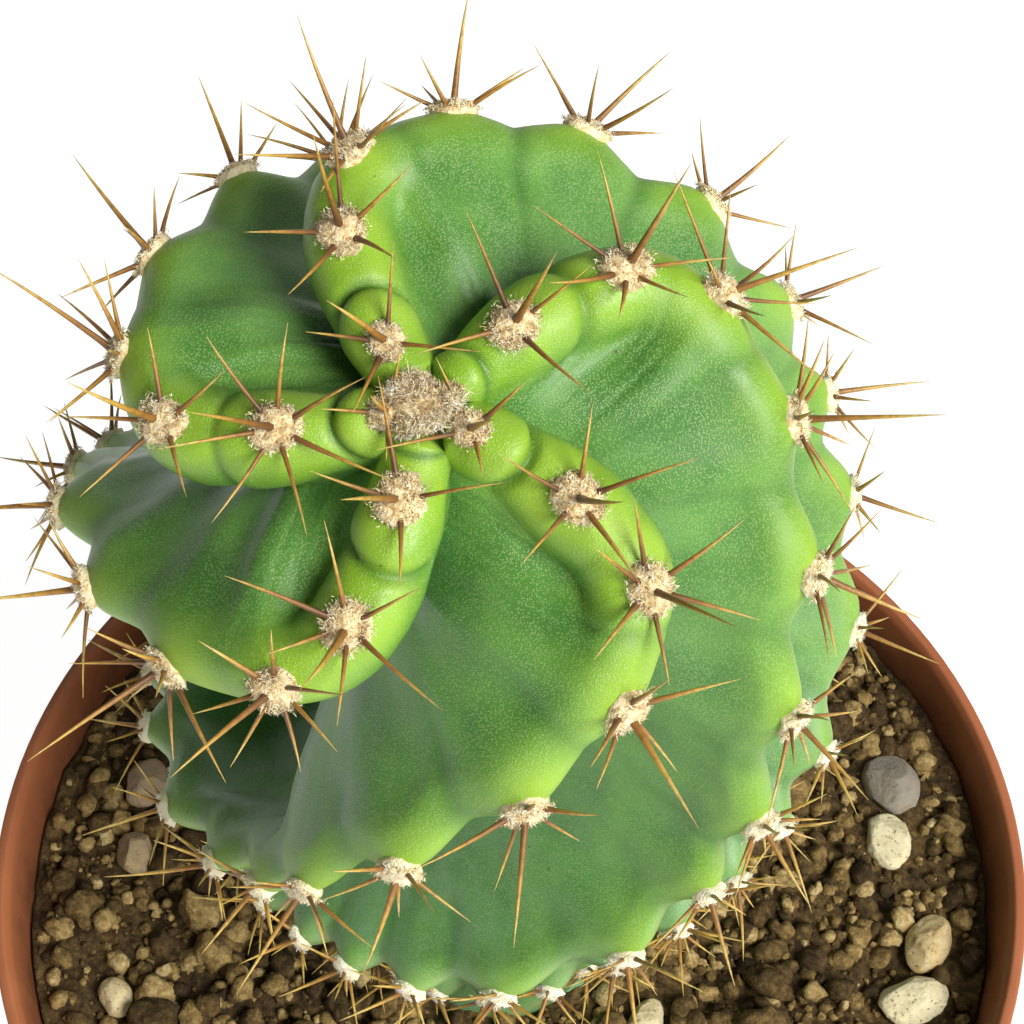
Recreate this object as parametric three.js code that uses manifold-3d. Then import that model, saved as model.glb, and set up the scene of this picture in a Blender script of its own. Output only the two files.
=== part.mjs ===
// Potted spiral cactus: a five-ribbed column whose ribs wind round it, in a plain round pot of soil.
// Millimetres, Z up, origin at the middle of the pot's underside. The photograph was taken from the -Y side.
import * as THREE from "three";
import { mergeVertices } from "three/addons/utils/BufferGeometryUtils.js";
import Module from "manifold-3d";

const wasm = await Module();
wasm.setup();

// Pot: driving dimensions
const POT = {
  rimRadius: 85,
  height: 130,
  footRadius: 62,
  wall: 2,
  lipWidth: 2.6,
  bandHeight: 15,
  floor: 4,
  sides: 48,
  drainHoles: 6,
  drainRadius: 4,
  drainCircle: 42,
};

// Clearance between pieces that touch
const GAP = 0.3;

// Soil: level at the wall, height of its lumps and the seed that lays them out
const SOIL = { level: 120, lump: 1.1, crumb: 1.6, sides: 48, rings: 8, seed: 7 };

// Stem: the apex height, and how far the stem's axis stands off the pot's axis at a depth d below the apex,
// as c0 + c1 s + c2 s^2 with s = d / 100
const STEM = {
  apexZ: 283,
  axisX: [-8.1, 7.3, -2.2],
  axisY: [-37.3, 52.1, -17],
  sinuation: 1.3,
  plugDepth: 160,
};

// Each rib: heading of its crest at the apex in degrees, and its place in the order in which areoles were formed
const RIBS = [
  { heading: 190.9, order: 0 },
  { heading: 120.6, order: 2 },
  { heading: 44.1, order: 4 },
  { heading: -27.1, order: 1 },
  { heading: -102, order: 3 },
];

// Cross-section of a rib: half its width at the youngest, young and old parts and at the soil, and how much it
// widens towards the core, young and old
const RIB = { halfWidth: [3.4, 4.7, 3.3, 13], draft: [0.06, 0.13], coreReach: -3 };

// How far below its crest each rib's section meets the stem's axis, by n
const CORE_DROP = [
  [0, 7.4],
  [13, 11],
  [20, 7],
  [25, 3.5],
  [30, 1],
  [34, 0],
];

// Crest of the ribs at the n-th areole counted from the apex over all ribs: depth, radius and turn in degrees
const CREST = [
  [0, 0.6, 3, 0],
  [4, 1, 11.6, 2],
  [7, 2.2, 19.8, 6],
  [10, 3.6, 25.8, 10],
  [13, 5.6, 30.2, 17],
  [15, 8.3, 32.8, 25],
  [20, 15, 36.6, 45.6],
  [25, 23.5, 40.6, 66],
  [30, 36, 44.8, 82],
  [34, 49, 47.6, 90],
  [40, 63, 49.3, 102],
  [45, 74, 49.6, 116],
  [50, 85.5, 48.6, 135],
  [57, 94, 46.8, 153],
  [64, 101, 45, 168],
  [85, 130, 39, 219],
  [101, 151, 35, 256],
  [117, 174, 32, 292],
];

// Fold of one rib: past it the crest lies further in and the wall drops back under the rib above
const FOLD = { rib: 3, from: 33.6, to: 36.4, fades: [47, 60], crestIn: 2, drop: 9 };

// Root plug, round, standing in the soil: distance below the soil's level and radius
const PLUG = [
  [-6, 22],
  [-5, 28],
  [0, 28.5],
  [14, 26.5],
  [28, 19],
  [36, 9],
];
const PLUG_RADIUS = 28.5;

// Areoles and spines
const AREOLE = { first: 0, last: 103, radius: 2.5, height: 1.5, sides: 4 };
const SPINE = { baseRadius: 0.55, longest: 17, shortest: 8, sunk: 0.5, seed: 41 };

// Stones lying in the soil: place, length, width, thickness, turn in degrees
const STONES = [
  { x: 64.7, y: 4.4, size: [10, 8, 6], turn: 95 },
  { x: 69.3, y: -14.6, size: [10.5, 7, 6], turn: 60 },
  { x: 65.6, y: -24.6, size: [11.5, 7.5, 6], turn: 15 },
  { x: 22, y: -28, size: [7.5, 5.5, 5], turn: 45 },
  { x: 66.6, y: 15.4, size: [11, 9.5, 7], turn: 110 },
  { x: -63.6, y: 15.8, size: [9, 7, 5.5], turn: 70 },
  { x: -63.8, y: 2.2, size: [8, 6.5, 5], turn: 100 },
  { x: -64, y: -24, size: [7, 5, 4.5], turn: 120 },
  { x: -28, y: 58, size: [9, 7, 5.5], turn: 60 },
  { x: 36, y: 55, size: [8, 6, 5], turn: 15 },
];

// Seeded random numbers from 0 to 1
function randomFrom(seed) {
  let state = seed >>> 0;
  return () => {
    state = (state + 0x6d2b79f5) >>> 0;
    let t = Math.imul(state ^ (state >>> 15), state | 1);
    t ^= t + Math.imul(t ^ (t >>> 7), t | 61);
    return ((t ^ (t >>> 14)) >>> 0) / 4294967296;
  };
}

const mix = (a, b, t) => a + (b - a) * t;
const radians = (degrees) => (degrees * Math.PI) / 180;

function smooth(from, to, value) {
  const t = Math.min(1, Math.max(0, (value - from) / (to - from)));
  return t * t * (3 - 2 * t);
}

// Solid from a three.js geometry
function solidOf(geometry) {
  const bare = geometry.clone();
  bare.deleteAttribute("normal");
  bare.deleteAttribute("uv");
  const merged = mergeVertices(bare, 1e-4);
  const mesh = new wasm.Mesh({
    numProp: 3,
    vertProperties: new Float32Array(merged.attributes.position.array),
    triVerts: new Uint32Array(merged.index.array),
  });
  return new wasm.Manifold(mesh);
}

// Named mesh from a solid
function meshOf(solid, name) {
  const made = solid.getMesh();
  const geometry = new THREE.BufferGeometry();
  geometry.setAttribute("position", new THREE.BufferAttribute(new Float32Array(made.vertProperties), 3));
  geometry.setIndex(new THREE.BufferAttribute(new Uint32Array(made.triVerts), 1));
  const mesh = new THREE.Mesh(geometry);
  mesh.name = name;
  return mesh;
}

// Closed geometry from rings of points that run from one end point to the other, counter-clockwise seen from the last
function ringsToGeometry(first, rings, last) {
  const sides = rings[0].length;
  const positions = [first, ...rings.flat(), last].flatMap((p) => [p.x, p.y, p.z]);
  const end = positions.length / 3 - 1;
  const at = (ring, side) => 1 + ring * sides + (side % sides);
  const index = [];
  for (let s = 0; s < sides; s++) {
    index.push(0, at(0, s + 1), at(0, s));
    for (let r = 0; r + 1 < rings.length; r++) {
      index.push(at(r, s), at(r, s + 1), at(r + 1, s + 1));
      index.push(at(r, s), at(r + 1, s + 1), at(r + 1, s));
    }
    index.push(at(rings.length - 1, s), at(rings.length - 1, s + 1), end);
  }
  const geometry = new THREE.BufferGeometry();
  geometry.setAttribute("position", new THREE.Float32BufferAttribute(positions, 3));
  geometry.setIndex(index);
  return geometry;
}

// Inner radius of the pot's wall at a height
function innerRadius(z) {
  const top = POT.rimRadius - POT.lipWidth;
  return mix(POT.footRadius - POT.wall, top, (z - POT.floor) / (POT.height - POT.floor));
}

// Pot: tapered wall, rim band with a rounded lip, flat floor with drain holes
function buildPot() {
  const { rimRadius, height, footRadius, wall, lipWidth, bandHeight, floor } = POT;
  const bandBottom = height - bandHeight;
  const underBand = innerRadius(bandBottom) + wall;
  const profile = [
    [0, 0],
    [footRadius - 2, 0],
    [footRadius - 0.5, 0.6],
    [footRadius, 2],
    [underBand, bandBottom],
    [rimRadius - 2, bandBottom + 1],
    [rimRadius - 1.4, bandBottom + 2.2],
    [rimRadius, height - 1.3],
    [rimRadius - 0.4, height - 0.4],
    [rimRadius - 1.1, height],
    [rimRadius - lipWidth + 0.9, height],
    [rimRadius - lipWidth + 0.3, height - 0.4],
    [rimRadius - lipWidth, height - 1.3],
    [innerRadius(bandBottom), bandBottom],
    [innerRadius(floor + 2), floor + 2],
    [innerRadius(floor) - 2, floor],
    [0, floor],
  ];
  const points = profile.map(([r, z]) => new THREE.Vector2(r, z));
  const lathe = new THREE.LatheGeometry(points, POT.sides).rotateX(Math.PI / 2);
  let pot = solidOf(lathe);
  for (let i = 0; i < POT.drainHoles; i++) {
    const angle = (i * 2 * Math.PI) / POT.drainHoles;
    const drill = new THREE.CylinderGeometry(POT.drainRadius, POT.drainRadius, 4 * floor, 12);
    drill.rotateX(Math.PI / 2);
    drill.translate(POT.drainCircle * Math.cos(angle), POT.drainCircle * Math.sin(angle), 0);
    pot = pot.subtract(solidOf(drill));
  }
  return pot;
}

// Middle of the stem at a depth below the apex; it runs straight down once it reaches the root plug
function axisPoint(depth) {
  const s = Math.min(depth, STEM.plugDepth) / 100;
  const [x0, x1, x2] = STEM.axisX;
  const [y0, y1, y2] = STEM.axisY;
  return new THREE.Vector3(x0 + x1 * s + x2 * s * s, y0 + y1 * s + y2 * s * s, STEM.apexZ - depth);
}

// Two directions across the stem at a depth, square to its axis
function axisFrame(depth) {
  const s = Math.min(depth, STEM.plugDepth) / 100;
  const straight = 1 - smooth(STEM.plugDepth - 25, STEM.plugDepth, depth);
  const dx = ((STEM.axisX[1] + 2 * STEM.axisX[2] * s) / 100) * straight;
  const dy = ((STEM.axisY[1] + 2 * STEM.axisY[2] * s) / 100) * straight;
  const up = new THREE.Vector3(-dx, -dy, 1).normalize();
  const side = new THREE.Vector3(1, 0, 0).addScaledVector(up, -up.x).normalize();
  return { up, side, away: new THREE.Vector3().crossVectors(up, side) };
}

// Crest at the n-th areole, read from the stations with an even curve between them
function crestAt(n) {
  let i = 0;
  while (i < CREST.length - 2 && n > CREST[i + 1][0]) {
    i++;
  }
  const before = CREST[Math.max(0, i - 1)];
  const from = CREST[i];
  const to = CREST[i + 1];
  const after = CREST[Math.min(CREST.length - 1, i + 2)];
  const width = to[0] - from[0];
  const t = (n - from[0]) / width;
  const [depth, radius, turn] = [1, 2, 3].map((c) => {
    const leave = i === 0 ? to[c] - from[c] : ((to[c] - before[c]) / (to[0] - before[0])) * width;
    const arrive = after === to ? to[c] - from[c] : ((after[c] - from[c]) / (after[0] - from[0])) * width;
    const a = 2 * t ** 3 - 3 * t ** 2 + 1;
    const b = t ** 3 - 2 * t ** 2 + t;
    return a * from[c] + b * leave + (1 - a) * to[c] + (t ** 3 - t ** 2) * arrive;
  });
  return { depth, radius, turn };
}

// Crest stations close together, to read the turn at any depth
const TURNS = Array.from({ length: 4 * CREST.at(-1)[0] }, (_, i) => crestAt(i / 4));

function turnAt(depth) {
  const found = TURNS.findIndex((station) => station.depth > depth);
  const i = found < 0 ? TURNS.length - 1 : Math.max(1, found);
  const [before, after] = [TURNS[i - 1], TURNS[i]];
  const t = (depth - before.depth) / (after.depth - before.depth);
  return mix(before.turn, after.turn, Math.min(1, Math.max(0, t)));
}

// Drop from the crest to where the rib's section meets the axis
function coreDrop(n) {
  const i = Math.max(1, CORE_DROP.findIndex((station) => station[0] > n));
  if (n >= CORE_DROP.at(-1)[0]) {
    return 0;
  }
  const [before, after] = [CORE_DROP[i - 1], CORE_DROP[i]];
  return mix(before[1], after[1], (n - before[0]) / (after[0] - before[0]));
}

// Point on the twisted middle sheet of a rib, at a distance from the stem's axis
function sheetPoint(rib, reach, depth) {
  const angle = radians(RIBS[rib].heading - turnAt(depth));
  const { side, away } = axisFrame(depth);
  return axisPoint(depth)
    .addScaledVector(side, reach * Math.cos(angle))
    .addScaledVector(away, reach * Math.sin(angle));
}

// Direction square to that sheet
function sheetNormal(rib, reach, depth) {
  const outward = sheetPoint(rib, reach + 0.2, depth).sub(sheetPoint(rib, reach - 0.2, depth));
  const down = sheetPoint(rib, reach, depth + 0.4).sub(sheetPoint(rib, reach, depth - 0.4));
  return outward.cross(down).normalize();
}

// Half the width of a rib at its rounded tip
function ribHalfWidth(n, depth) {
  const [youngest, young, old, foot] = RIB.halfWidth;
  const grown = mix(mix(youngest, young, smooth(1, 7, n)), old, smooth(15, 45, n));
  return mix(grown, foot, smooth(STEM.plugDepth - 35, STEM.plugDepth + 5, depth));
}

// How far a rib is past its fold, from 0 to 1
function foldAt(rib, n) {
  return rib === FOLD.rib ? smooth(FOLD.from, FOLD.to, n) * (1 - smooth(...FOLD.fades, n)) : 0;
}

// Crest of a rib at n: its point, the direction along it towards the root, and its way inwards as reach and depth
function ribCrest(rib, n) {
  const { depth, radius } = crestAt(n);
  const foot = smooth(STEM.plugDepth - 35, STEM.plugDepth, depth);
  const wave = Math.cos((2 * Math.PI * (n - RIBS[rib].order + 0.4)) / RIBS.length);
  const swell = STEM.sinuation * smooth(4, 20, n) * wave * (1 - foot) - FOLD.crestIn * foldAt(rib, n);
  const reach = mix(radius + swell, PLUG_RADIUS + 1.5, foot);
  const [before, after] = [crestAt(Math.max(0, n - 0.3)), crestAt(n + 0.3)];
  const [run, fall] = [after.radius - before.radius, after.depth - before.depth];
  const length = Math.hypot(run, fall);
  const along = sheetPoint(rib, after.radius, after.depth).sub(sheetPoint(rib, before.radius, before.depth));
  return { reach, depth, point: sheetPoint(rib, reach, depth), along: along.normalize(),
    inward: [-fall / length, run / length] };
}

// Direction out of a rib at its crest: upright in the young part, in line with the rib's twisted sheet further down
function ribOut(rib, n, crest, centre) {
  const [reachIn, depthIn] = crest.inward;
  const { up } = axisFrame(crest.depth);
  const radial = crest.point.clone().sub(axisPoint(crest.depth)).normalize();
  const upright = radial.multiplyScalar(-reachIn).addScaledVector(up, depthIn).normalize();
  const leaning = sheetPoint(rib, centre[0] - reachIn, centre[1] - depthIn).sub(sheetPoint(rib, ...centre)).normalize();
  const out = upright.lerp(leaning, smooth(6, 20, n));
  return out.addScaledVector(crest.along, -out.dot(crest.along)).normalize();
}

// Point of a rib's skin; across runs from 0 at the crest over 1 at the end of the rounded tip to 2 at the core
function ribPoint(rib, n, across) {
  const crest = ribCrest(rib, n);
  const width = ribHalfWidth(n, crest.depth);
  const centre = [Math.max(0.5, crest.reach + crest.inward[0] * width), crest.depth + crest.inward[1] * width];
  const out = ribOut(rib, n, crest, centre);
  const beside = new THREE.Vector3().crossVectors(out, crest.along).normalize();
  const middle = crest.point.clone().addScaledVector(out, -width);
  const sign = Math.sign(across);
  const t = Math.max(0, Math.abs(across) - 1);
  if (t === 0) {
    const alpha = (across * Math.PI) / 2;
    return middle.addScaledVector(out, width * Math.cos(alpha)).addScaledVector(beside, width * Math.sin(alpha));
  }
  const core = [RIB.coreReach, crest.depth + coreDrop(n)];
  const way = Math.hypot(core[0] - centre[0], core[1] - centre[1]);
  const place = [mix(centre[0], core[0], t), mix(centre[1], core[1], t)];
  const shift = middle.sub(sheetPoint(rib, ...centre));
  const normal = sheetNormal(rib, ...place);
  const square = beside.lerp(normal, smooth(0, 0.5, t)).normalize();
  return sheetPoint(rib, ...place)
    .addScaledVector(shift, 1 - t)
    .addScaledVector(normal, FOLD.drop * foldAt(rib, n) * smooth(0, 0.22, t) * (1 - smooth(0.5, 1, t)))
    .addScaledVector(square, sign * (width + mix(...RIB.draft, smooth(8, 34, n)) * t * way));
}

// Places across a rib at which its skin has a line of points
const ACROSS = [-2, -1.4, -1, -0.5, 0, 0.5, 1, 1.4, 2];

function middleOf(points) {
  const sum = points.reduce((total, p) => total.add(p), new THREE.Vector3());
  return sum.multiplyScalar(1 / points.length);
}

// Places along a rib at which its skin has a row of points: the swelling at each areole and the notch between
function rowsOf(rib, end) {
  const rows = [0.5];
  let n = RIBS[rib].order - 0.4;
  while (n < end - 1.5) {
    if (n > 1.3) {
      rows.push(n);
    }
    n += n < 29 ? 5 / 3 : n < 59 ? 2.5 : 5;
  }
  return [...rows, end];
}

// One rib from the apex to just above the soil
function buildRib(rib, end) {
  const rings = rowsOf(rib, end).map((n) => ACROSS.map((across) => ribPoint(rib, n, across))).reverse();
  return solidOf(ringsToGeometry(middleOf(rings[0]), rings, middleOf(rings.at(-1))));
}

function buildPlug() {
  const foot = axisPoint(STEM.plugDepth);
  const points = [[-6, 0], ...PLUG, [PLUG.at(-1)[0] + 2, 0]].map(([below, r]) => new THREE.Vector2(r, -below));
  const plug = new THREE.LatheGeometry(points.reverse(), 24).rotateX(Math.PI / 2);
  return solidOf(plug.translate(foot.x, foot.y, SOIL.level));
}

// Stem: five ribs wound round one axis, joined, with the root plug below
function buildStem() {
  const end = TURNS.findIndex((station) => station.depth > STEM.plugDepth - 1) / 4;
  return wasm.Manifold.union([...RIBS.map((_, rib) => buildRib(rib, end)), buildPlug()]);
}

// Directions at an areole: out of the skin, along the crest towards the root, and across it
function areoleFrame(rib, n) {
  const point = ribPoint(rib, n, 0);
  const along = ribPoint(rib, n + 0.8, 0).sub(ribPoint(rib, Math.max(0, n - 0.8), 0)).normalize();
  const out = point.clone().sub(axisPoint(crestAt(n).depth));
  const lift = 1 - smooth(6, 18, n);
  out.normalize().addScaledVector(axisFrame(0).up, 0.2 + 1.6 * lift).normalize();
  out.addScaledVector(along, -out.dot(along)).normalize();
  return { point, out, along, across: new THREE.Vector3().crossVectors(out, along) };
}

// Geometry moved so that its Z axis lies along a direction
function turnedTo(geometry, direction, place) {
  const turn = new THREE.Quaternion().setFromUnitVectors(new THREE.Vector3(0, 0, 1), direction);
  return geometry.applyQuaternion(turn).translate(place.x, place.y, place.z);
}

// Woolly pad of an areole: a low dome
function buildPad(frame, size) {
  const { radius, height, sides } = AREOLE;
  const pad = new THREE.ConeGeometry(radius * size, (height + 2) * size, sides);
  pad.rotateX(Math.PI / 2);
  const place = frame.point.clone().addScaledVector(frame.out, ((height + 2) / 2 - 1.8) * size);
  return solidOf(turnedTo(pad, frame.out, place));
}

// Three-sided spine that starts inside the stem
function buildSpine(root, direction, length) {
  const whole = length + SPINE.sunk;
  const spine = new THREE.ConeGeometry(SPINE.baseRadius, whole, 3);
  spine.rotateX(Math.PI / 2);
  const place = root.clone().addScaledVector(direction, whole / 2 - SPINE.sunk);
  return solidOf(turnedTo(spine, direction, place));
}

// Spines of an areole: one that stands out, and the others spread round it
function buildSpines(frame, n, random) {
  const young = 1 - smooth(0, 30, n);
  const spread = n < 20 ? 4 : n < 64 ? 2 : 1;
  const reach = mix(SPINE.shortest + 2, SPINE.longest - 2, young) * smooth(-6, 4, n);
  const solids = [];
  const start = random() * 2 * Math.PI;
  for (let i = 0; i <= spread; i++) {
    const central = i === spread;
    const angle = start + ((i + 0.3 * (random() - 0.5)) * 2 * Math.PI) / spread;
    const lean = central ? 0.15 : mix(0.95, 1.25, random());
    const direction = frame.out.clone().multiplyScalar(Math.cos(lean))
      .addScaledVector(frame.along, Math.sin(lean) * Math.cos(angle))
      .addScaledVector(frame.across, Math.sin(lean) * Math.sin(angle))
      .normalize();
    const length = reach * (central ? 1.15 : mix(0.7, 0.95, random()));
    const sideways = direction.clone().addScaledVector(frame.out, -direction.dot(frame.out)).normalize();
    const root = frame.point.clone().addScaledVector(frame.out, -0.6).addScaledVector(sideways, central ? 0 : 1.35);
    solids.push(buildSpine(root, direction, length));
  }
  return solids;
}

// Cactus: stem, areoles and spines grown as one piece
function buildCactus() {
  const random = randomFrom(SPINE.seed);
  const solids = [buildStem()];
  for (let n = AREOLE.first; n <= AREOLE.last; n++) {
    const rib = RIBS.findIndex((r) => r.order === n % RIBS.length);
    const frame = areoleFrame(rib, n);
    solids.push(buildPad(frame, n < 3 ? 0.8 : 1));
    solids.push(...buildSpines(frame, n, random));
  }
  return wasm.Manifold.union(solids);
}

// Stone: a block with its corners knocked off unevenly
function buildStone(stone, extra, seed) {
  const random = randomFrom(seed);
  const shape = mergeVertices(bareIcosahedron());
  const points = shape.attributes.position;
  for (let i = 0; i < points.count; i++) {
    const swell = mix(0.84, 1.12, random());
    points.setXYZ(
      i,
      points.getX(i) * swell * (stone.size[0] / 2 + extra),
      points.getY(i) * swell * (stone.size[1] / 2 + extra),
      points.getZ(i) * swell * (stone.size[2] / 2 + extra),
    );
  }
  shape.rotateZ(radians(stone.turn));
  shape.translate(stone.x, stone.y, SOIL.level + 0.9);
  return solidOf(shape);
}

function bareIcosahedron() {
  const ball = new THREE.IcosahedronGeometry(1, 1);
  ball.deleteAttribute("normal");
  ball.deleteAttribute("uv");
  return ball;
}

// Height of the soil's surface, lumpy all over
function soilHeight(x, y, random) {
  const broad = Math.sin(0.11 * x + 1.3) * Math.cos(0.13 * y - 0.4);
  const fine = Math.sin(0.41 * x + 0.27 * y) * Math.cos(0.33 * y - 0.19 * x + 2);
  return SOIL.level + SOIL.lump * (broad + 0.8 * fine) + SOIL.crumb * (random() - 0.35);
}

// Soil: fills the pot, with a plain hole for the root plug and a seat for each stone
function buildSoil() {
  const random = randomFrom(SOIL.seed);
  const foot = axisPoint(STEM.plugDepth);
  const middle = new THREE.Vector3(0, 0, 0);
  const ring = (centre, radius, height) => {
    const points = [];
    for (let s = 0; s < SOIL.sides; s++) {
      const angle = (s * 2 * Math.PI) / SOIL.sides;
      const x = centre.x + radius * Math.cos(angle);
      const y = centre.y + radius * Math.sin(angle);
      points.push(new THREE.Vector3(x, y, height(x, y)));
    }
    return points;
  };
  const bottom = POT.floor + GAP;
  const shrink = GAP + 0.15;
  const rings = [
    ring(middle, innerRadius(POT.floor) - 2 - shrink, () => bottom),
    ring(middle, innerRadius(POT.floor + 2) - shrink, () => POT.floor + 2 + GAP),
  ];
  const hole = PLUG_RADIUS + GAP + 0.25;
  for (let i = 0; i <= SOIL.rings; i++) {
    const t = i / SOIL.rings;
    const centre = middle.clone().lerp(foot, t);
    const radius = mix(innerRadius(SOIL.level) - shrink, hole, t);
    const edge = i === 0 || i === SOIL.rings;
    rings.push(ring(centre, radius, edge ? () => SOIL.level : (x, y) => soilHeight(x, y, random)));
  }
  for (const [below, radius] of PLUG.filter((station) => station[0] > 0)) {
    rings.push(ring(foot, radius + GAP + 0.25, () => SOIL.level - below - 0.1));
  }
  const start = new THREE.Vector3(0, 0, bottom);
  const end = new THREE.Vector3(foot.x, foot.y, SOIL.level - PLUG.at(-1)[0] - 2.6);
  let soil = solidOf(ringsToGeometry(start, rings, end));
  STONES.forEach((stone, i) => {
    soil = soil.subtract(buildStone(stone, 2 * GAP, 100 + i));
  });
  return soil;
}

const group = new THREE.Group();
group.add(meshOf(buildPot(), "pot"));
group.add(meshOf(buildSoil(), "soil"));
group.add(meshOf(buildCactus(), "cactus"));
STONES.forEach((stone, i) => {
  group.add(meshOf(buildStone(stone, 0, 100 + i), `stone_${i + 1}`));
});

export default group;
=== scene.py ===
"""Potted spiral cactus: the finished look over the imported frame. Sizes in the code are millimetres."""
import math

import bmesh
import bpy
import numpy as np
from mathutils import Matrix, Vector


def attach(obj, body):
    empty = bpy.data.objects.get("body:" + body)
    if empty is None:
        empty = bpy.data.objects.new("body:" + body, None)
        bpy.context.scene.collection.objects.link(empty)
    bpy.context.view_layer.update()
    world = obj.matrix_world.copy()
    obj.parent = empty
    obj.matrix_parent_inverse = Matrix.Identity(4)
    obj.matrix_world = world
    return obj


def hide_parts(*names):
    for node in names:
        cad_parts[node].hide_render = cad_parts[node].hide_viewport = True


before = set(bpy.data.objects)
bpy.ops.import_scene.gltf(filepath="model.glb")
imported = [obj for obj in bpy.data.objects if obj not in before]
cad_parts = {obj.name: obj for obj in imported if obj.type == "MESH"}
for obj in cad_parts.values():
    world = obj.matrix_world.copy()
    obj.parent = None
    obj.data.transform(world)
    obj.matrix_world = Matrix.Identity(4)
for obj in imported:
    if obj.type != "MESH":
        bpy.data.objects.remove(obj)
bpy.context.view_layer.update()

MM = 0.001
TAU = 2 * math.pi

# Pot and soil
RIM_RADIUS = 85.0
POT_HEIGHT = 130.0
FOOT_RADIUS = 62.0
WALL = 2.0
LIP_WIDTH = 2.6
BAND_HEIGHT = 15.0
FLOOR = 4.0
DRAIN_HOLES = 6
DRAIN_RADIUS = 4.0
DRAIN_CIRCLE = 42.0
SOIL_LEVEL = 120.0
SOIL_LUMPS = ((17, 21, 0.9), (6, 22, 0.9), (2.6, 23, 0.7), (1.2, 24, 0.45))  # width, seed, height of each

# Stem: apex height, and its axis off the pot's axis as c0 + c1 s + c2 s^2 with s = depth below the apex / 100
APEX_Z = 283.0
AXIS_X = (-8.1, 7.3, -2.2)
AXIS_Y = (-37.3, 52.1, -17.0)
PLUG_DEPTH = 160.0
PLUG_RADIUS = 28.5
SINUATION = 1.3
RIB_HALF_WIDTH = (3.4, 4.7, 3.3, 13.0)  # youngest, young, old and at the soil
RIB_DRAFT = (0.06, 0.13)  # how much a rib widens towards its root, young and old

CORE_REACH = -3.0  # how far past the axis the skin of a rib ends
CORE_DROP = np.array([(0, 7.4), (13, 11), (20, 7), (25, 3.5), (30, 1), (34, 0)])  # n, drop from crest to axis
FOOT_SPAN = 35.0  # over this height above the plug's depth a rib passes into the foot

# Relief of the skin, each a height in millimetres
TUBERCLE = 1.5
CREASE = (0.4, 0.7)  # grown and young
SHOULDER = 1.1
FLANK_FOLD = 0.34
FLANK_STREAK = 0.22
PINCH = 0.75
LUMPS = ((12, 3, 0.22), (4.5, 4, 0.1))  # width, seed, height of each

# Ribs: heading of each crest at the apex in degrees, and its place in the order in which areoles were formed
RIB_HEADING = np.array([190.9, 120.6, 44.1, -27.1, -102.0])
RIB_ORDER = np.array([0, 2, 4, 1, 3])
RIBS = len(RIB_ORDER)

# Crest at the n-th areole counted from the apex over all ribs: n, depth, radius, turn in degrees
CREST = np.array([
    (0, 0.6, 3, 0),
    (4, 1, 11.6, 2),
    (7, 2.2, 19.8, 6),
    (10, 3.6, 25.8, 10),
    (13, 5.6, 30.2, 17),
    (15, 8.3, 32.8, 25),
    (20, 15, 36.6, 45.6),
    (25, 23.5, 40.6, 66),
    (30, 36, 44.8, 82),
    (34, 49, 47.6, 90),
    (40, 63, 49.3, 102),
    (45, 74, 49.6, 116),
    (50, 85.5, 48.6, 135),
    (57, 94, 46.8, 153),
    (64, 101, 45, 168),
    (85, 130, 39, 219),
    (101, 151, 35, 256),
    (117, 174, 32, 292),
], float)
AREOLES = 104
UPPER_AREOLES = 36  # these have denser felt
UPPER_FIBRES, LOWER_FIBRES = 1300, 420  # on each areole
APEX_FIBRES = 3500

# Fold of one rib: past it the crest lies further in and the wall drops back under the rib above
FOLD_RIB = 3
FOLD_FROM, FOLD_TO = 33.6, 36.4
FOLD_FADES = 47.0, 60.0
FOLD_CREST_IN = 2.0
FOLD_DROP = 9.0

# Areoles: along the crest, across it and out of it
PAD = np.array([2.75, 2.35, 1.5])
FELT = (2.8, 2.45, 1.2)
APEX_DEPTH = 0.4  # of the wool's middle
APEX_PAD = np.array([3.0, 2.7, 1.5])
APEX_FELT = (3.3, 3.0, 1.4)

# Spines: range of lean from the areole's outward direction, of length and of radius at the root
CENTRAL_SPINE = ((0.1, 0.5), (12.5, 16.5), (0.38, 0.46))
RADIAL_SPINE = ((0.95, 1.3), (7, 12.5), (0.27, 0.36))

# Stones in the soil: x, y, length, width, thickness, turn in degrees, tone from pale 0 to grey 1
STONES = [
    (64.7, 4.4, 10, 8, 6, 95, 0.0),
    (69.3, -14.6, 10.5, 7, 6, 60, 0.3),
    (65.6, -24.6, 11.5, 7.5, 6, 15, 0.0),
    (22, -28, 7.5, 5.5, 5, 45, 0.15),
    (66.6, 15.4, 11, 9.5, 7, 110, 0.95),
    (-63.6, 15.8, 9, 7, 5.5, 70, 0.6),
    (-63.8, 2.2, 8, 6.5, 5, 100, 0.55),
    (-64, -24, 7, 5, 4.5, 120, 0.2),
    (-28, 58, 9, 7, 5.5, 60, 0.3),
    (36, 55, 8, 6, 5, 15, 0.7),
]

# Crumbs on the soil: name, count, detail, range of width, range of tone, seed
CRUMBS = [
    ("crumbs_fine", 4200, 1, (0.8, 2.6), (0.05, 0.8), 51),
    ("crumbs_medium", 2300, 2, (2.2, 5.6), (0.05, 0.85), 52),
    ("clumps", 190, 3, (5.0, 11.0), (0.1, 0.75), 53),
]

# Camera: place, pitch below the horizon in degrees, focal length on a 36 mm sensor
CAMERA_PLACE = (0.4, -161.7, 426.1)
CAMERA_PITCH = 52.1
CAMERA_LENS = 70.35
SENSOR = 36

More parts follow.
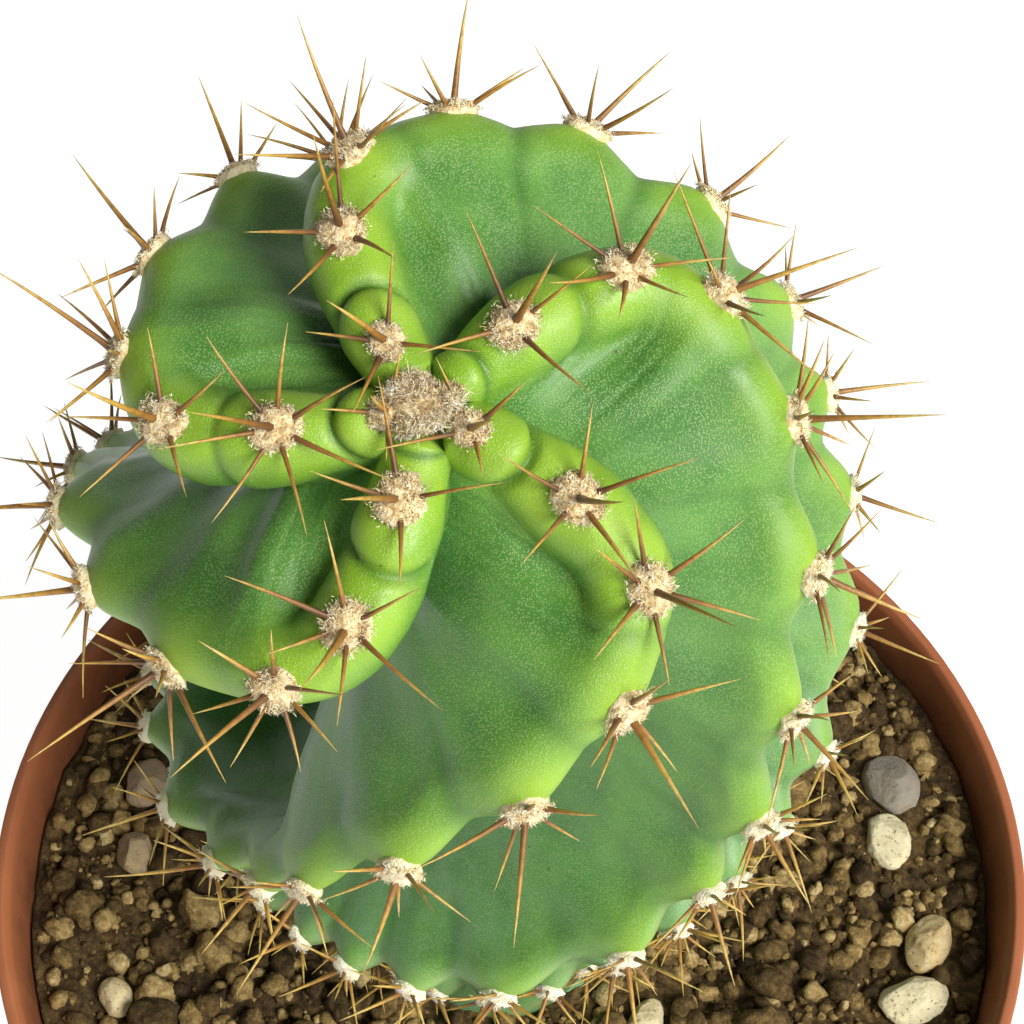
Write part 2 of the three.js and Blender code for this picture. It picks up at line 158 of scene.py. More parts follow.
# Lights: place in metres, watts and colour
LIGHTS = {
    "key": ((0.82, -0.78, 1.1), 29.0, (1.0, 0.985, 0.94)),
    "fill": ((0.1, -1.25, 0.75), 3.0, (0.97, 0.99, 1.0)),
    "rim": ((0.1, 1.0, 1.2), 2.0, (1.0, 1.0, 1.0)),
}
LIGHT_TARGET = (-0.01, -0.02, 0.2)
LIGHT_WIDTH = 0.8
WORLD_LIGHT = 0.045
FLOOR_GLOW = 0.95
FLOOR_GREY = 0.25
FLOOR_HALF = 6000.0
FLOOR_LEVEL = -0.2


# Numbers

def mix(a, b, t):
    return a + (b - a) * t


def smooth(low, high, value):
    t = np.clip((np.asarray(value, float) - low) / (high - low), 0, 1)
    return t * t * (3 - 2 * t)


def unit(v):
    return v / np.maximum(np.linalg.norm(v, axis=-1, keepdims=True), 1e-9)


def lattice(cell, seed):
    """Random number from 0 to 1 for each whole-numbered cell."""
    h = cell[..., 0] * 374761393 + cell[..., 1] * 668265263 + cell[..., 2] * 2147483647 + seed * 974711
    h = (h ^ (h >> 13)) * 1274126177
    h = h ^ (h >> 16)
    return (h & 0xFFFFFF) / float(0xFFFFFF)


def noise(points, size, seed):
    """Smooth noise from -1 to 1 with lumps about as wide as size."""
    p = np.asarray(points, float) / size
    base = np.floor(p).astype(np.int64)
    f = p - base
    f = f * f * (3 - 2 * f)
    total = 0
    for dx in (0, 1):
        for dy in (0, 1):
            for dz in (0, 1):
                weight = ((f[..., 0] if dx else 1 - f[..., 0])
                          * (f[..., 1] if dy else 1 - f[..., 1])
                          * (f[..., 2] if dz else 1 - f[..., 2]))
                total = total + weight * lattice(base + np.array([dx, dy, dz]), seed)
    return total * 2 - 1


# Meshes

def make_piece(name, points, faces, material, smooth_faces=True, values=None):
    """Object from points in millimetres and faces that all have the same number of corners."""
    faces = np.asarray(faces, np.int32)
    mesh = bpy.data.meshes.new(name)
    mesh.vertices.add(len(points))
    mesh.vertices.foreach_set("co", (np.asarray(points, float) * MM).ravel())
    mesh.loops.add(faces.size)
    mesh.loops.foreach_set("vertex_index", faces.ravel())
    mesh.polygons.add(len(faces))
    mesh.polygons.foreach_set("loop_start", np.arange(0, faces.size, faces.shape[1], dtype=np.int32))
    mesh.update(calc_edges=True)
    mesh.polygons.foreach_set("use_smooth", np.full(len(faces), smooth_faces))
    for key, value in (values or {}).items():
        mesh.attributes.new(key, "FLOAT", "POINT").data.foreach_set("value", np.asarray(value, np.float32))
    mesh.materials.append(material)
    piece = bpy.data.objects.new(name, mesh)
    bpy.context.scene.collection.objects.link(piece)
    return piece


def grid_faces(rows, columns):
    """Quads of a grid whose columns close into a loop."""
    r, c = np.meshgrid(np.arange(rows - 1), np.arange(columns), indexing="ij")
    right = (c + 1) % columns
    return np.stack([r * columns + c, (r + 1) * columns + c, (r + 1) * columns + right, r * columns + right],
                    -1).reshape(-1, 4)


def copies(faces, count, points_each):
    """Faces of a number of equal meshes whose points follow one another."""
    start = (np.arange(count) * points_each)[:, None, None]
    return (faces[None] + start).reshape(-1, faces.shape[1])


def lathe(profile, sides):
    """Rings of points round the Z axis, one for each radius and height of a profile."""
    angle = np.arange(sides) * TAU / sides
    height = np.broadcast_to(profile[:, 1:], (len(profile), sides))
    return np.stack([profile[:, :1] * np.cos(angle), profile[:, :1] * np.sin(angle), height], -1)


def ball(detail=2):
    """Points and triangles of a divided icosahedron."""
    made = bmesh.new()
    bmesh.ops.create_icosphere(made, subdivisions=detail, radius=1)
    points = np.array([v.co for v in made.verts])
    faces = np.array([[v.index for v in f.verts] for f in made.faces])
    made.free()
    return points, faces


def random_turns(rng, count):
    """Random rotation matrices."""
    q = unit(rng.normal(size=(count, 4)))
    w, x, y, z = q.T
    return np.stack([
        np.stack([1 - 2 * (y * y + z * z), 2 * (x * y - z * w), 2 * (x * z + y * w)], -1),
        np.stack([2 * (x * y + z * w), 1 - 2 * (x * x + z * z), 2 * (y * z - x * w)], -1),
        np.stack([2 * (x * z - y * w), 2 * (y * z + x * w), 1 - 2 * (x * x + y * y)], -1),
    ], 1)


# Materials

class Shader:
    """Short way to build a node material."""

    def __init__(self, name):
        self.material = bpy.data.materials.new(name)
        self.material.use_nodes = True
        self.tree = self.material.node_tree
        self.surface = self.tree.nodes["Principled BSDF"]
        self.place = self.add("ShaderNodeTexCoord").outputs["Object"]

    def add(self, kind, **settings):
        node = self.tree.nodes.new(kind)
        for key, value in settings.items():
            setattr(node, key, value)
        return node

    def feed(self, socket, value):
        if isinstance(value, bpy.types.NodeSocket):
            self.tree.links.new(value, socket)
        else:
            socket.default_value = value

    def set(self, name, value):
        self.feed(self.surface.inputs[name], value)

    def value(self, name):
        return self.add("ShaderNodeAttribute", attribute_name=name).outputs["Fac"]

    def noise(self, size, detail, rough=0.55):
        node = self.add("ShaderNodeTexNoise")
        self.feed(node.inputs["Vector"], self.place)
        self.feed(node.inputs["Scale"], 1 / (size * MM))
        self.feed(node.inputs["Detail"], detail)
        self.feed(node.inputs["Roughness"], rough)
        return node.outputs["Fac"]

    def cells(self, size):
        node = self.add("ShaderNodeTexVoronoi")
        self.feed(node.inputs["Vector"], self.place)
        self.feed(node.inputs["Scale"], 1 / (size * MM))
        return node.outputs["Distance"]

    def ramp(self, factor, stops):
        node = self.add("ShaderNodeValToRGB")
        self.feed(node.inputs["Fac"], factor)
        ramp = node.color_ramp
        for i, (place, color) in enumerate(stops):
            stop = ramp.elements[i] if i < 2 else ramp.elements.new(place)
            stop.position = place
            stop.color = (*color, 1)
        return node.outputs["Color"]

    def grey(self, factor, low, high, out_low=0.0, out_high=1.0):
        node = self.add("ShaderNodeMapRange", interpolation_type="SMOOTHSTEP")
        for key, value in (("Value", factor), ("From Min", low), ("From Max", high),
                           ("To Min", out_low), ("To Max", out_high)):
            self.feed(node.inputs[key], value)
        return node.outputs["Result"]

    def math(self, operation, a, b):
        node = self.add("ShaderNodeMath", operation=operation)
        self.feed(node.inputs[0], a)
        self.feed(node.inputs[1], b)
        return node.outputs[0]

    def blend(self, factor, a, b):
        node = self.add("ShaderNodeMix", data_type="RGBA")
        self.feed(node.inputs[0], factor)
        for socket, color in ((node.inputs[6], a), (node.inputs[7], b)):
            self.feed(socket, (*color, 1) if isinstance(color, tuple) else color)
        return node.outputs[2]

    def bump(self, height, distance, strength):
        node = self.add("ShaderNodeBump")
        self.feed(node.inputs["Height"], height)
        self.feed(node.inputs["Distance"], distance * MM)
        self.feed(node.inputs["Strength"], strength)
        return node.outputs["Normal"]


def skin_material():
    s = Shader("cactus_skin")
    fresh, bloom, crease, edge = s.value("fresh"), s.value("bloom"), s.value("crease"), s.value("edge")
    mottle = s.noise(9, 2)
    flank = s.ramp(mottle, [(0.32, (0.05, 0.175, 0.026)), (0.68, (0.115, 0.3, 0.046))])
    young = s.ramp(mottle, [(0.3, (0.22, 0.43, 0.02)), (0.7, (0.32, 0.52, 0.035))])
    color = s.blend(fresh, flank, young)
    haze = s.math("MULTIPLY", bloom, s.grey(s.noise(5, 3), 0.3, 0.75, 0.35, 1.0))
    color = s.blend(haze, color, (0.2, 0.37, 0.2))
    dots = s.grey(s.cells(0.24), 0.2, 0.56, 1.0, 0.0)
    dots = s.math("MULTIPLY", dots, s.grey(s.noise(3, 1), 0.3, 0.6, 0.65, 1.0))
    color = s.blend(s.math("MULTIPLY", dots, 0.32), color, (0.45, 0.66, 0.22))
    # Painted shade: the creases under the chins are darkened to a near-black green.
    color = s.blend(s.math("MULTIPLY", crease, 0.8), color, (0.03, 0.12, 0.012))
    # Painted highlight: a thin pale line along the crest edge between the areoles.
    color = s.blend(s.math("MULTIPLY", edge, 0.3), color, (0.5, 0.6, 0.3))
    scuffs = s.grey(s.noise(2.6, 5, 0.75), 0.66, 0.74)
    scuffs = s.math("MULTIPLY", scuffs, s.grey(s.noise(26, 1), 0.52, 0.66))
    color = s.blend(s.math("MULTIPLY", scuffs, 0.5), color, (0.62, 0.66, 0.58))
    specks = s.grey(s.cells(5.5), 0.03, 0.05, 1.0, 0.0)
    color = s.blend(s.math("MULTIPLY", specks, 0.6), color, (0.07, 0.06, 0.03))
    s.set("Base Color", color)
    s.set("Roughness", s.grey(mottle, 0.3, 0.7, 0.36, 0.5))
    s.set("Normal", s.bump(dots, 0.05, 0.6))
    return s.material


def spine_material():
    s = Shader("spine")
    along, tone = s.value("along"), s.value("tone")
    grown = s.math("ADD", along, s.math("MULTIPLY", tone, 0.4))
    color = s.ramp(grown, [
        (0.0, (0.05, 0.02, 0.012)),
        (0.25, (0.15, 0.064, 0.02)),
        (0.55, (0.36, 0.17, 0.032)),
        (0.85, (0.6, 0.37, 0.07)),
        (1.0, (0.66, 0.47, 0.13)),
    ])
    color = s.blend(s.grey(s.noise(0.7, 1), 0.4, 0.7, 0.0, 0.35), color, (0.1, 0.04, 0.02))
    s.set("Base Color", color)
    s.set("Roughness", 0.42)
    return s.material


def felt_material():
    s = Shader("felt")
    tone = s.math("ADD", s.value("tone"), s.grey(s.noise(0.8, 1), 0.3, 0.7, -0.2, 0.2))
    s.set("Base Color", s.ramp(tone, [
        (0.0, (0.24, 0.13, 0.05)),
        (0.25, (0.78, 0.58, 0.28)),
        (0.6, (0.98, 0.86, 0.56)),
        (1.0, (1.0, 0.96, 0.84)),
    ]))
    s.set("Roughness", 0.9)
    s.set("Sheen Weight", 0.35)
    s.set("Normal", s.bump(s.noise(0.3, 1), 0.25, 0.9))
    return s.material


def pot_material():
    s = Shader("pot_plastic")
    color = s.ramp(s.noise(14, 3), [(0.3, (0.42, 0.135, 0.055)), (0.7, (0.49, 0.165, 0.07))])
    inside = s.value("inside")
    # Inner wall darkened from just below the rim down: partly painted shade, partly soil stain.
    color = s.blend(inside, color, (0.12, 0.035, 0.015))
    # Darker patches on the inner wall: partly dust, partly painted shade.
    dust_and_shade = s.math("MULTIPLY", inside, s.grey(s.noise(6, 4, 0.7), 0.4, 0.65, 0.1, 0.85))
    color = s.blend(dust_and_shade, color, (0.07, 0.035, 0.018))
    marks = s.grey(s.noise(1.6, 5, 0.75), 0.63, 0.72)
    color = s.blend(s.math("MULTIPLY", marks, 0.35), color, (0.62, 0.36, 0.24))
    s.set("Base Color", color)
    s.set("Roughness", s.grey(s.noise(5, 2), 0.3, 0.7, 0.4, 0.56))
    s.set("Normal", s.bump(s.noise(4, 4), 0.12, 0.3))
    return s.material


def soil_material():
    s = Shader("soil_mix")
    tone = s.math("ADD", s.value("tone"), s.grey(s.noise(1.2, 3, 0.7), 0.3, 0.7, -0.18, 0.18))
    s.set("Base Color", s.ramp(tone, [
        (0.0, (0.035, 0.021, 0.009)),
        (0.3, (0.1, 0.062, 0.022)),
        (0.55, (0.22, 0.145, 0.05)),
        (0.8, (0.4, 0.28, 0.11)),
        (1.0, (0.6, 0.49, 0.26)),
    ]))
    s.set("Roughness", 0.92)
    s.set("Specular IOR Level", 0.25)
    s.set("Normal", s.bump(s.noise(0.5, 2, 0.7), 0.35, 0.9))
    return s.material


def stone_material():
    s = Shader("pale_stone")
    tone = s.math("ADD", s.value("tone"), s.grey(s.noise(2.2, 5, 0.65), 0.3, 0.7, -0.1, 0.12))
    color = s.ramp(tone, [
        (0.0, (0.84, 0.75, 0.48)),
        (0.35, (0.6, 0.44, 0.2)),
        (0.6, (0.4, 0.29, 0.17)),
        (1.0, (0.3, 0.27, 0.22)),
    ])
    s.set("Base Color", s.blend(s.grey(s.noise(0.6, 3), 0.58, 0.72), color, (0.2, 0.13, 0.07)))
    s.set("Roughness", 0.8)
    s.set("Normal", s.bump(s.noise(0.7, 5, 0.7), 0.4, 0.8))
    return s.material


# Stem

def crest_at(n):
    """Depth, radius and turn of the crests at the n-th areole."""
    n = np.asarray(n, float)
    i = np.clip(np.searchsorted(CREST[:, 0], n, side="left") - 1, 0, len(CREST) - 2)
    start, end = CREST[i], CREST[i + 1]
    before, after = CREST[np.maximum(i - 1, 0)], CREST[np.minimum(i + 2, len(CREST) - 1)]
    width = (end[..., 0] - start[..., 0])[..., None]
    t = (n - start[..., 0])[..., None] / width
    leave = np.where((i == 0)[..., None], end - start,
                     (end - before) / np.maximum(end[..., :1] - before[..., :1], 1) * width)
    arrive = np.where((i == len(CREST) - 2)[..., None], end - start,
                      (after - start) / np.maximum(after[..., :1] - start[..., :1], 1) * width)
    a = 2 * t ** 3 - 3 * t ** 2 + 1
    out = a * start + (t ** 3 - 2 * t ** 2 + t) * leave + (1 - a) * end + (t ** 3 - t ** 2) * arrive
    return out[..., 1], out[..., 2], out[..., 3]


def axis_at(depth):
    """Middle of the stem and the directions up, sideways and away from it at a depth below the apex."""
    depth = np.asarray(depth, float)
    s = np.minimum(depth, PLUG_DEPTH) / 100
    middle = np.stack([AXIS_X[0] + AXIS_X[1] * s + AXIS_X[2] * s * s,
                       AXIS_Y[0] + AXIS_Y[1] * s + AXIS_Y[2] * s * s,
                       APEX_Z - depth], -1)
    straight = 1 - smooth(PLUG_DEPTH - 25, PLUG_DEPTH, depth)
    lean_x = (AXIS_X[1] + 2 * AXIS_X[2] * s) / 100 * straight
    lean_y = (AXIS_Y[1] + 2 * AXIS_Y[2] * s) / 100 * straight
    up = unit(np.stack([-lean_x, -lean_y, np.ones_like(s)], -1))
    side = unit(np.array([1.0, 0, 0]) - up * up[..., :1])
    return middle, up, side, np.cross(up, side)


# Turn of the ribs against depth, read off the crests
STATIONS = np.arange(0, 117, 0.25)
DEPTH_TABLE, _, TURN_TABLE = crest_at(STATIONS)


def from_bulge(rib, n):
    """Areole steps from the nearest bulge of a rib's crest, from -2.5 to 2.5, where the notches are."""
    half = RIBS / 2
    return (n - RIB_ORDER[rib] + 0.4 + half) % RIBS - half


def wave(steps):
    """One at each bulge of a crest and minus one in each notch."""
    return np.cos(TAU * steps / RIBS)


def sheet_point(rib, reach, depth):
    """Point on the twisted middle sheet of a rib, at a distance from the stem's axis."""
    middle, up, side, away = axis_at(depth)
    angle = np.radians(RIB_HEADING[rib] - np.interp(depth, DEPTH_TABLE, TURN_TABLE))[..., None]
    return middle + (side * np.cos(angle) + away * np.sin(angle)) * reach[..., None]


def sheet_normal(rib, reach, depth):
    """Direction square to the twisted sheet."""
    outward = sheet_point(rib, reach + 0.2, depth) - sheet_point(rib, reach - 0.2, depth)
    down = sheet_point(rib, reach, depth + 0.4) - sheet_point(rib, reach, depth - 0.4)
    return unit(np.cross(outward, down))


def foot_share(depth, past=0.0):
    """How much of a rib has passed into the foot of the stem, from 0 to 1."""
    return smooth(PLUG_DEPTH - FOOT_SPAN, PLUG_DEPTH + past, depth)


def rib_width(n, depth):
    """Half width of a rib's rounded tip."""
    youngest, young, old, foot = RIB_HALF_WIDTH
    width = mix(mix(youngest, young, smooth(1, 7, n)), old, smooth(15, 45, n))
    return mix(width, foot, foot_share(depth, 5))


def fold_at(rib, n):
    """How far a station lies in the fold, from 0 to 1."""
    return (rib == FOLD_RIB) * smooth(FOLD_FROM, FOLD_TO, n) * (1 - smooth(*FOLD_FADES, n))


def tubercles(rib, n, near, youth):
    """Height of the plump young tubercles, and strength of the crease under each chin."""
    chin = from_bulge(rib, n - mix(0.2, 0.8, youth) + mix(0.35 * near, 1.3 * near ** 2, youth))
    rise = np.clip(chin / RIBS + 0.5, 0, 1)
    crown = (rise ** 0.7 * (1 - rise ** 9) - 0.35) * np.exp(-(near / 1.1) ** 4)
    gap = (RIBS / 2 - np.abs(chin)) / mix(0.42, 0.24, youth)
    crease = np.exp(-gap ** 2) * np.exp(-(near / mix(2.6, 1.15, youth)) ** 4)
    uneven = 0.35 + 0.35 * noise(np.stack([n, rib * 7.0, n * 0], -1), 4, 6)
    crease = crease * mix(uneven * smooth(9.5, 15, n), 1, youth)
    return TUBERCLE * youth * smooth(0, 2, n) * crown, crease


def streaks(rib, n, from_crest):
    """Long soft lumps that run from the crest towards the furrow, from -1 to 1."""
    place = np.stack([n + 0.06 * from_crest, from_crest * 0.1, rib * 9.0 + 0 * n], -1)
    fine = 0.5 * noise(place * [1, 1.6, 1], 0.55, 10)
    return (noise(place, 1.1, 9) + fine) / 1.5 * smooth(3, 9, from_crest)


def rib_relief(rib, n, t, from_crest, width, foot):
    """How far the skin stands out, and the strength of its creases."""
    youth = 1 - smooth(4.5, 9, n)
    tubercle, crease = tubercles(rib, n, from_crest / (width * math.pi / 2), youth)
    crease = crease * (1 - foot)
    grown = smooth(7, 16, n) * (1 - smooth(42, 60, n)) * smooth(3, 11, from_crest)
    flank = FLANK_FOLD * grown * wave(from_bulge(rib, n - 0.09 * from_crest - 0.2))
    flank = flank + FLANK_STREAK * streaks(rib, n, from_crest)
    pinch = smooth(15, 26, n) * (1 - foot) * (smooth(0, 4, from_crest) - smooth(7, 17, from_crest))
    cut = crease * mix(*CREASE, youth) * smooth(1, 4, n)
    return tubercle - cut + flank * (1 - t) - PINCH * pinch, crease


def inwards(lower, higher):
    """Step from the crest into its rib, square to the crest, as changes of reach and of depth."""
    run, fall = lower[1] - higher[1], lower[0] - higher[0]
    length = np.maximum(np.hypot(run, fall), 1e-6)
    return -fall / length, run / length


def tip_directions(rib, n, upright, leaning, lower, higher):
    """Out of the crest and square to it: upright in the young part, along the twisted sheet further down."""
    along = unit(sheet_point(rib, lower[1], lower[0]) - sheet_point(rib, higher[1], higher[0]))
    tip = mix(upright, leaning, smooth(6, 20, n)[..., None])
    tip = unit(tip - along * (tip * along).sum(-1, keepdims=True))
    return tip, unit(np.cross(tip, along))


def wall_thickness(n, t, way, width):
    """Half thickness of a rib, t of the way from its rounded tip to the core."""
    shoulder = SHOULDER * smooth(4, 13, n) * (1 - smooth(17, 26, n)) * smooth(0, 9, t * way)
    return width + mix(*RIB_DRAFT, smooth(8, 34, n)) * t * way + shoulder


def rib_skin(rib, n, across):
    """Points of a rib's skin: across is 0 at the crest, 1 where its rounded tip ends and 2 at the core."""
    depth, radius, _ = crest_at(n)
    width = rib_width(n, depth)
    foot = foot_share(depth)
    fold = fold_at(rib, n)
    swell = SINUATION * smooth(12, 26, n) * (1 - foot) * wave(from_bulge(rib, n))
    radius = mix(radius - FOLD_CREST_IN * fold, PLUG_RADIUS + 1.5, foot)
    calm_crest = sheet_point(rib, radius, depth)
    crest = sheet_point(rib, radius + swell, depth)

    # Middle of the rounded tip, and the way from there to the core
    lower, higher = crest_at(n + 0.3), crest_at(np.maximum(n - 0.3, 0))
    reach_in, depth_in = inwards(lower, higher)
    centre_reach = np.maximum(radius + reach_in * width, 0.5)
    centre_depth = depth + depth_in * width
    hub = sheet_point(rib, centre_reach, centre_depth)
    core_depth = depth + np.interp(n, CORE_DROP[:, 0], CORE_DROP[:, 1])
    way = np.hypot(CORE_REACH - centre_reach, core_depth - centre_depth)

    middle, up, _, _ = axis_at(depth)
    upright = unit(unit(calm_crest - middle) * (-reach_in)[..., None] + up * depth_in[..., None])
    leaning = unit(sheet_point(rib, centre_reach - reach_in, centre_depth - depth_in) - hub)
    tip, square = tip_directions(rib, n, upright, leaning, lower, higher)

    # Wall from the tip to the core, along the sheet
    side = np.sign(across)
    a = np.abs(across)
    t = np.clip(a - 1, 0, 1)
    reach = mix(centre_reach, CORE_REACH, t)
    level = mix(centre_depth, core_depth, t)
    normal = sheet_normal(rib, reach, level)
    beside = unit(mix(square, normal, smooth(0, 0.5, t)[..., None]))
    base = sheet_point(rib, reach, level) + (calm_crest - tip * width[..., None] - hub) * (1 - t)[..., None]
    base = base + (crest - calm_crest) * np.exp(-(t * way / 5) ** 2)[..., None]
    base = base + normal * (FOLD_DROP * fold * smooth(0, 0.22, t) * (1 - smooth(0.5, 1, t)))[..., None]
    wall = base + beside * (side * wall_thickness(n, t, way, width))[..., None]

    # Rounded tip
    alpha = np.minimum(a, 1) * math.pi / 2
    out = tip * np.cos(alpha)[..., None] + square * (side * np.sin(alpha))[..., None]
    round_tip = crest + (out - tip) * width[..., None]
    on_wall = (a > 1)[..., None]
    points = np.where(on_wall, wall, round_tip)
    out = np.where(on_wall, beside * side[..., None], out)

    from_crest = np.where(a > 1, width * math.pi / 2 + t * way, width * alpha)
    relief, crease = rib_relief(rib, n, t, from_crest, width, foot)
    lumps = sum(noise(points, size, seed) * height for size, seed, height in LUMPS)
    return points + out * (relief + lumps * smooth(0, 6, n))[..., None], crease, from_crest


def skin_rows():
    """Stations of the skin, close together where the tubercles are, down to below the soil."""
    return np.concatenate([np.arange(0.2, 30, 0.15), np.linspace(30, 116.6, 200)])


def skin_tones(rib, n, from_crest):
    """Fresh green, bloom and a painted highlight along the crest edge of the skin, each from 0 to 1."""
    depth = crest_at(n)[0]
    bulge = from_bulge(rib, n)
    on_crest = np.exp(-(from_crest / 5.5) ** 2)
    patch = on_crest * np.exp(-((bulge + 0.3) / 1.5) ** 2) * mix(0.75, 0.3, smooth(30, 75, n))
    young = (1 - smooth(4, 26, n)) * np.exp(-(from_crest / 5) ** 2)
    fresh = patch + 0.85 * young + 0.2 * on_crest + 0.14 * streaks(rib, n, from_crest)
    fresh = np.clip(fresh, 0, 1)
    bloom = 0.05 + 0.4 * smooth(8, 30, from_crest) * smooth(6, 24, n) + smooth(62, 105, depth)
    # Painted shade: bloom is mostly taken off the fold of one rib so that recess reads darker.
    bloom = np.clip(bloom, 0, 1) * (1 - 0.8 * fresh) * (1 - 0.8 * fold_at(rib, n))
    # Painted highlight: a thin pale line on the crest, strongest between the areoles of the lower ribs.
    edge = np.exp(-(from_crest / 1.1) ** 2) * smooth(25, 45, n) * (1 - np.exp(-bulge ** 2))
    return {"fresh": fresh, "bloom": bloom, "edge": edge}


def build_skin(material):
    """Five ribs, each a closed run of strips from its core over its crest to its core."""
    tip = np.linspace(-1, 1, 15)
    wall = 1 + np.linspace(0, 1, 14)[1:] ** 1.3
    across = np.concatenate([-wall[::-1], tip, wall])
    n, across_grid = np.meshgrid(skin_rows(), across, indexing="ij")
    rows, columns = n.shape
    strips = grid_faces(rows, columns)
    strips = strips[(np.arange(len(strips)) % columns) < columns - 1]
    points, faces, values = [], [], {"fresh": [], "bloom": [], "crease": [], "edge": []}
    for number in range(RIBS):
        rib = np.full(n.shape, number)
        skin, crease, from_crest = rib_skin(rib, n, across_grid)
        skin[0] = skin[0].mean(axis=0)
        faces.append(strips + number * n.size)
        points.append(skin.reshape(-1, 3))
        for key, value in {**skin_tones(rib, n, from_crest), "crease": crease}.items():
            values[key].append(value.ravel())
    values = {key: np.concatenate(value) for key, value in values.items()}
    points = np.concatenate(points)
    faces = np.concatenate(faces)[:, ::-1]
    return make_piece("cactus_skin", points, faces, material, True, values)


def build_collar(material):
    """Rounded foot of the stem between the ribs, where it goes into the soil."""
    outline = [(0.01, 9), (12, 9), (21, 7), (26, 4), (PLUG_RADIUS, 0), (PLUG_RADIUS, -7)]
    profile = np.array(rounded(outline, 3))
    foot = axis_at(PLUG_DEPTH)[0]
    points = lathe(profile + [0, SOIL_LEVEL], 96) + [foot[0], foot[1], 0]
    points = points.reshape(-1, 3)
    points[:, :2] += 0.6 * noise(points, 9, 61)[:, None] * unit(points[:, :2] - foot[:2])
    plain = np.zeros(len(points))
    values = {"fresh": plain, "bloom": plain + 1, "crease": plain, "edge": plain}
    return make_piece("stem_foot", points, grid_faces(len(profile), 96), material, True, values)


def areole_frames():
    """Point, outward, along and across directions of every areole."""
    n = np.arange(AREOLES, dtype=float)
    rib = np.array([int(np.where(RIB_ORDER == k % RIBS)[0][0]) for k in range(AREOLES)])
    zero = np.zeros(AREOLES)
    point = rib_skin(rib, np.maximum(n, 0.2), zero)[0]
    along = unit(rib_skin(rib, n + 0.8, zero)[0] - rib_skin(rib, np.maximum(n - 0.8, 0), zero)[0])
    middle = axis_at(crest_at(n)[0])[0]
    up = axis_at(0.0)[1]
    lift = (1 - smooth(6, 18, n))[:, None]
    out = unit(unit(point - middle) + up * (0.2 + 1.6 * lift))
    out = unit(out - along * (out * along).sum(-1, keepdims=True))
    return n, point, out, along, np.cross(out, along)


def areole_size(n):
    """Size of an areole against the largest, those of the upper part."""
    return np.where(n < 3, 0.75, mix(1.0, 0.8, smooth(20, 70, n)))


def build_pads(frames, material):
    """Low woolly mound under the fibres of each areole."""
    n, point, out, along, across = frames
    points, faces = ball()
    rng = np.random.default_rng(11)
    swell = 1 + 0.1 * rng.normal(size=(len(n), len(points), 1))
    local = points[None] * swell * PAD * areole_size(n)[:, None, None]
    world = (point[:, None] + local[..., :1] * along[:, None] + local[..., 1:2] * across[:, None]
             + (local[..., 2:] - 0.25) * out[:, None])
    faces = copies(faces, len(n), len(points))
    # Painted shade: young pads get a darker tone than their fibres so the gaps between the fibres read dark.
    tone = np.repeat(mix(0.3, 0.8, smooth(0, 60, n)), len(points))
    return make_piece("areole_pads", world.reshape(-1, 3), faces, material, True, {"tone": tone})


def fibres(rng, roots, directions, length, width, tone):
    """Points, triangles and tones of short bent hairs, each a narrow tapering strip."""
    count = len(roots)
    sideways = unit(np.cross(directions, rng.normal(size=(count, 3))))
    bend = unit(directions * 0.3 + rng.normal(size=(count, 3)) * 0.75)
    middle = roots + directions * length[:, None] * 0.5
    tip = middle + bend * length[:, None] * 0.55
    w = sideways * width[:, None]
    points = np.stack([roots - w, roots + w, middle - w * 0.8, middle + w * 0.8, tip], 1).reshape(-1, 3)
    faces = copies(np.array([[0, 1, 3], [0, 3, 2], [2, 3, 4]]), count, 5)
    return points, faces, np.repeat(tone, 5)


def on_disc(rng, count):
    """Random places on a disc: direction, and distance from 0 at the middle to 1 at the edge."""
    angle = rng.uniform(0, TAU, count)
    return angle, np.sqrt(rng.uniform(0, 1, count))


def areole_fibres(rng, frames, each):
    """Hairs that stand out of every areole's pad and lean away from its middle."""
    n, point, out, along, across = frames
    count = len(n) * each
    which = np.repeat(np.arange(len(n)), each)
    size = areole_size(n)[which]
    angle, far = on_disc(rng, count)
    u, v = far * np.cos(angle), far * np.sin(angle)
    height = FELT[2] * np.sqrt(np.maximum(1 - far ** 2 * 0.92, 0)) - 0.25
    spread = size * (1 + 0.1 * rng.normal(size=count))
    root = (point[which] + along[which] * (u * FELT[0] * spread)[:, None]
            + across[which] * (v * FELT[1] * spread)[:, None] + out[which] * (height * size)[:, None])
    lean = along[which] * (u * 0.35)[:, None] + across[which] * (v * 0.35)[:, None]
    direction = unit(out[which] * 0.4 + lean + rng.normal(size=(count, 3)) * 0.6)
    length = rng.uniform(0.4, 0.95, count) * size * (1 - 0.3 * far ** 4)
    tone = mix(0.55, 0.95, smooth(0, 60, n[which])) + rng.normal(size=count) * 0.2
    tone = np.clip(tone - 0.5 * (rng.uniform(0, 1, count) < 0.13), 0, 1)
    width = rng.uniform(0.035, 0.065, count)
    return fibres(rng, root, direction, length, width, tone)


